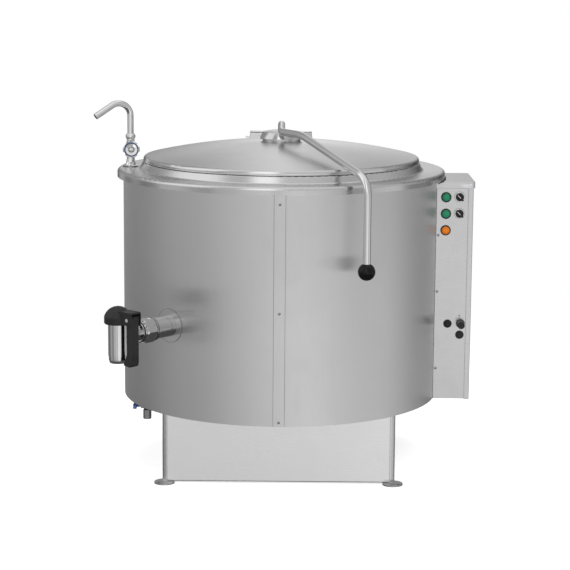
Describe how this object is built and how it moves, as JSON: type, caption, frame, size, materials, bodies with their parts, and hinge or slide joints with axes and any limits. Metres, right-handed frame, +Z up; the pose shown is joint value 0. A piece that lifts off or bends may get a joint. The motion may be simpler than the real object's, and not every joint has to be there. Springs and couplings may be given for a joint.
{
  "type": "steam jacketed kettle",
  "caption": "Free-standing gas-heated boiling kettle with steam jacket, hinged lid and bent lid handle, water tap, draw-off cock and control column on a square plinth.",
  "frame": {"origin": "on the floor under the vessel's axis, at the centre of the four floor bolts", "axes": "+Z up, the operator stands on the -Y side, +X towards the control column"},
  "size_m": [1.1495, 1.1181, 1.102],
  "materials": {
    "brushed_stainless": "satin",
    "polished_stainless": "polished",
    "black_plastic": "satin",
    "gloss_black": "gloss",
    "black_rubber": "matte",
    "mineral_wool": "matte",
    "cast_iron": "matte",
    "brass": "satin",
    "spring_steel": "satin",
    "green_lens": "gloss",
    "orange_lens": "gloss",
    "blue_plastic": "gloss"
  },
  "bodies": {
    "root": {"balance_springs": "spring_steel", "blanking_plug": "black_plastic", "burner": "cast_iron", "cable_gland": "black_plastic", "casing_bottom_pan": "brushed_stainless", "casing_left": "brushed_stainless", "casing_right": "brushed_stainless", "column_floor": "brushed_stainless", "column_front_panel": "brushed_stainless", "column_screws": "polished_stainless", "column_side_cover": "brushed_stainless", "column_top_cap": "brushed_stainless", "combustion_chamber": "brushed_stainless", "deck_ring": "brushed_stainless", "drain_escutcheon": "brushed_stainless", "drain_pipe": "polished_stainless", "drain_union_nut": "polished_stainless", "drain_valve_body": "polished_stainless", "flue_duct": "brushed_stainless", "foot_plates": "brushed_stainless", "gas_cock": "brass", "gas_pipes": "polished_stainless", "green_lamps": "green_lens", "hinge_bracket": "brushed_stainless", "hinge_cover": "brushed_stainless", "inner_vessel": "brushed_stainless", "insulation": "mineral_wool", "jacket_shell": "brushed_stainless", "knob_collars": "black_plastic", "lamp_bezels": "black_plastic", "level_cock": "polished_stainless", "orange_lamp": "orange_lens", "plinth_panels": "brushed_stainless", "plinth_posts": "brushed_stainless", "safety_valve": "brass", "seam_screws": "polished_stainless", "seam_strips": "brushed_stainless", "selector_bezels": "polished_stainless", "tap_body": "polished_stainless", "tap_lock_nut": "brass", "tap_swivel_nut": "polished_stainless", "water_feed_pipe": "polished_stainless"},
    "lid": {"lid_shell": "brushed_stainless", "lid_gasket": "black_rubber", "lid_hub": "polished_stainless", "lid_arm": "polished_stainless", "handle_ball": "gloss_black", "hinge_shaft": "polished_stainless"},
    "spout": {"tap_spout": "polished_stainless"},
    "tap_wheel": {"tap_wheel": "polished_stainless", "tap_index_ring": "blue_plastic"},
    "drain_handle": {"drain_hood": "black_plastic", "drain_plug": "polished_stainless", "lever_pin": "polished_stainless"},
    "drain_lever": {"drain_lever": "black_plastic"},
    "selector_upper": {"selector_knob_upper": "black_plastic"},
    "selector_lower": {"selector_knob_lower": "black_plastic"},
    "gas_knob": {"gas_knob": "black_plastic"},
    "igniter": {"igniter_button": "black_plastic"},
    "level_cock_handle": {"cock_handle": "blue_plastic"}
  },
  "joints": [
    {"name": "lid_hinge", "type": "hinge", "parent": "root", "child": "lid", "pos_m": [0, 0.47, 0.942], "axis": [-1, 0, 0], "range_deg": [0, 80]},
    {"name": "spout_swivel", "type": "hinge", "parent": "root", "child": "spout", "pos_m": [-0.46, 0.008, 0.98], "axis": [0, 0, 1], "continuous": true},
    {"name": "tap_wheel_turn", "type": "hinge", "parent": "root", "child": "tap_wheel", "pos_m": [-0.46, 0.008, 0.955], "axis": [0.1392, -0.9903, 0], "range_deg": [0, 720]},
    {"name": "drain_turn", "type": "hinge", "parent": "root", "child": "drain_handle", "pos_m": [-0.45435, -0.50995, 0.53], "axis": [0, 0, -1], "range_deg": [0, 90]},
    {"name": "drain_lever_fold", "type": "hinge", "parent": "drain_handle", "child": "drain_lever", "pos_m": [-0.41254, -0.54721, 0.53], "axis": [-0.6652, -0.7466, 0], "range_deg": [0, 90]},
    {"name": "selector_upper_turn", "type": "hinge", "parent": "root", "child": "selector_upper", "pos_m": [0.5365, -0.11, 0.828], "axis": [0, 1, 0], "range_deg": [0, 90]},
    {"name": "selector_lower_turn", "type": "hinge", "parent": "root", "child": "selector_lower", "pos_m": [0.5365, -0.11, 0.778], "axis": [0, 1, 0], "range_deg": [0, 90]},
    {"name": "gas_knob_turn", "type": "hinge", "parent": "root", "child": "gas_knob", "pos_m": [0.547, -0.11, 0.4415], "axis": [0, -1, 0], "range_deg": [0, 180]},
    {"name": "igniter_push", "type": "slide", "parent": "root", "child": "igniter", "axis": [0, 1, 0], "range_m": [0, 0.004], "stiffness_N_per_m": 800, "springref_m": -0.001},
    {"name": "level_cock_turn", "type": "hinge", "parent": "root", "child": "level_cock_handle", "pos_m": [-0.42, -0.15, 0.187], "axis": [-1, 0, 0], "range_deg": [0, 90]}
  ]
}
